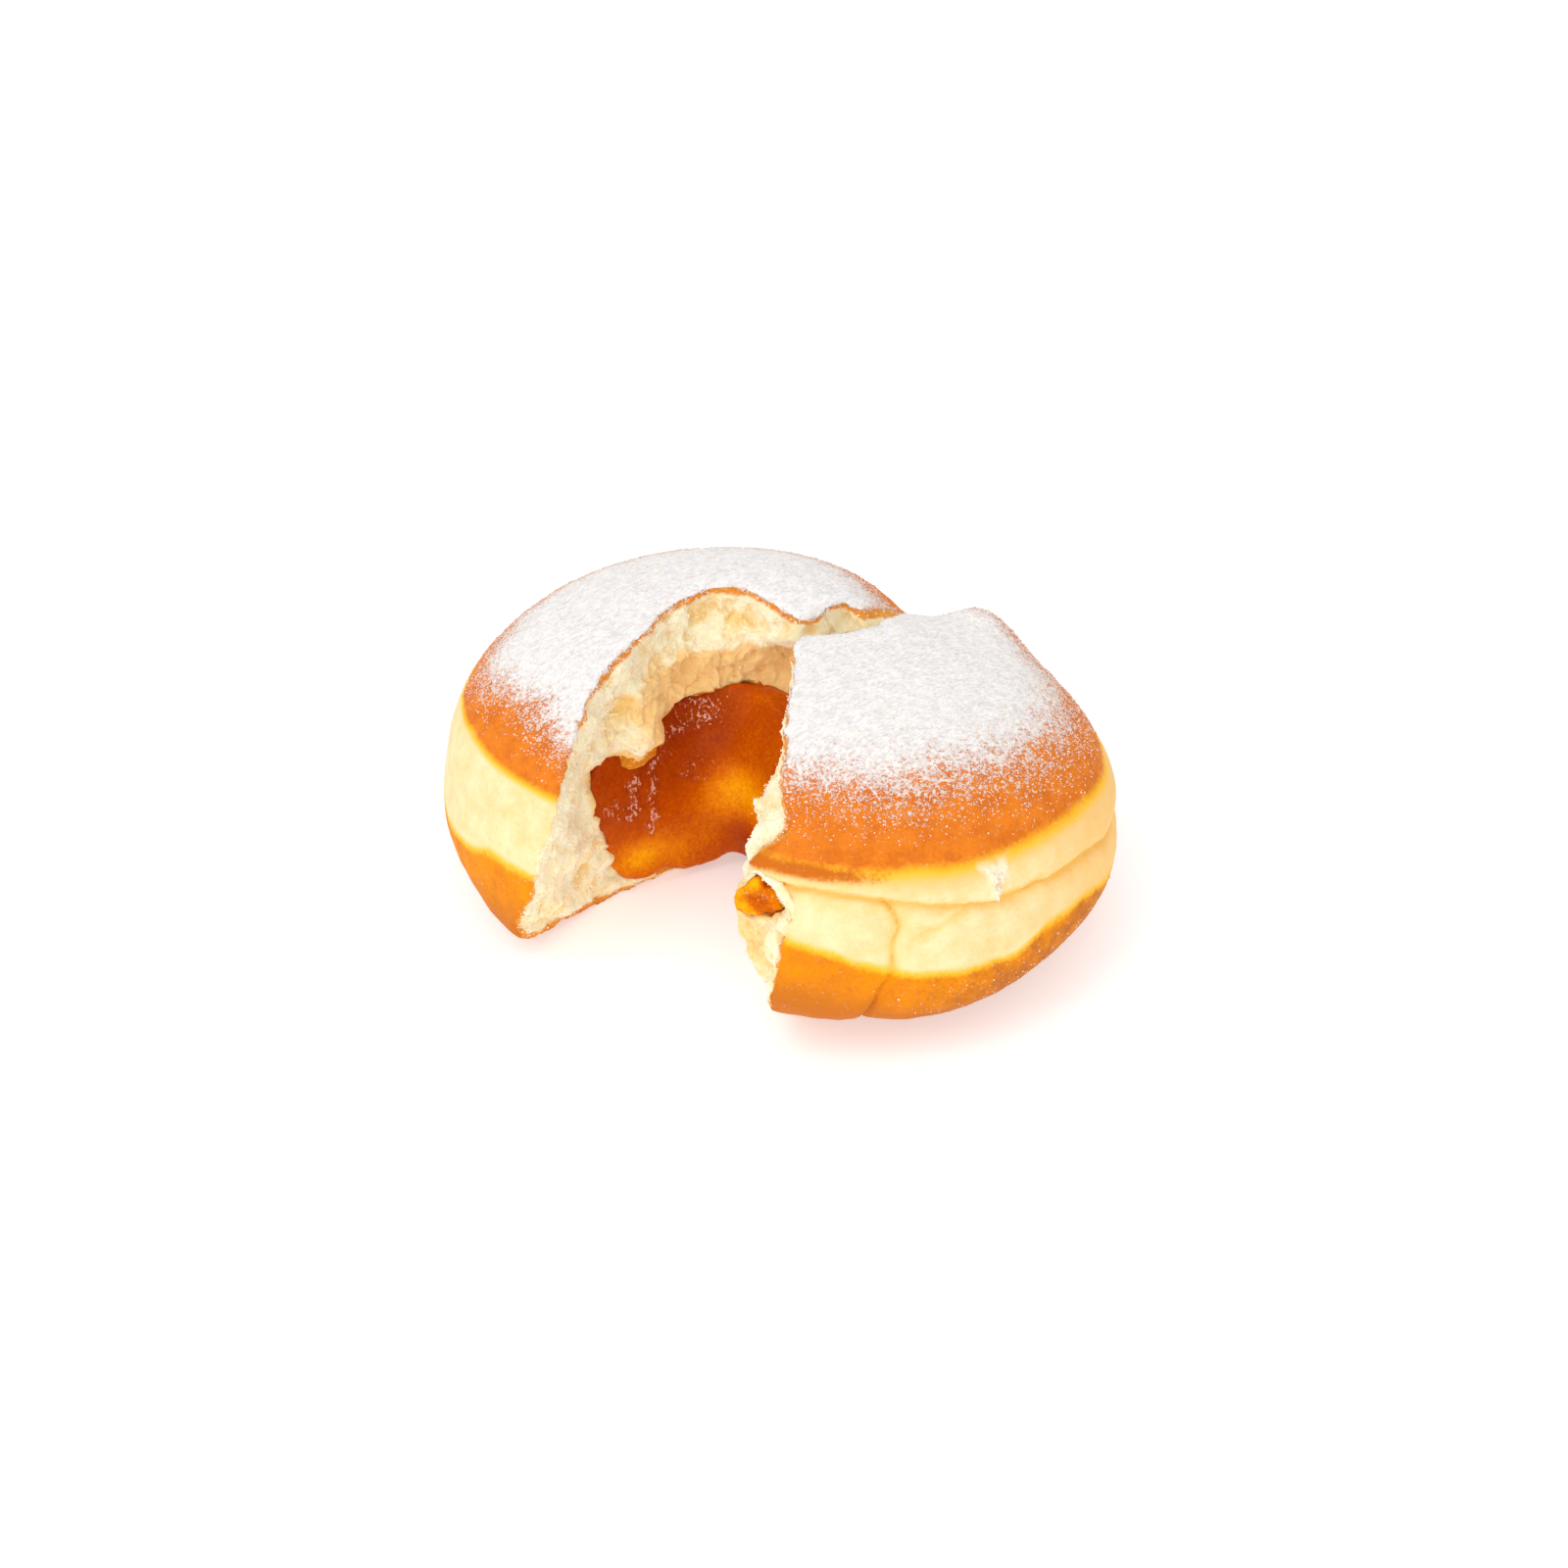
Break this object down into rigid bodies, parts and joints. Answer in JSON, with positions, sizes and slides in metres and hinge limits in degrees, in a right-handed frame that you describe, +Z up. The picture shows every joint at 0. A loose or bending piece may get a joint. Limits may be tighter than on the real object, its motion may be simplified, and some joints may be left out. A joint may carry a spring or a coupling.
{
  "type": "jelly filled doughnut",
  "caption": "Round yeast doughnut under powdered sugar, torn open at the front and still joined at the back, with the jelly filling showing.",
  "frame": {"origin": "middle of the whole doughnut's footprint, on the table", "axes": "+X to the right across both halves, the longest way; +Y to the back, where the halves are joined; +Z up, the shortest way; the tear opens to the front, -Y"},
  "size_m": [0.111, 0.1006, 0.0489],
  "materials": {
    "dough": "soft matte fried dough: browned top and bottom, a pale ring round the side, cream crumb on the torn faces, powdered sugar on top",
    "jelly": "wet glossy apricot jelly"
  },
  "bodies": {
    "root": {"dough": "dough", "jelly": "jelly"}
  },
  "joints": []
}
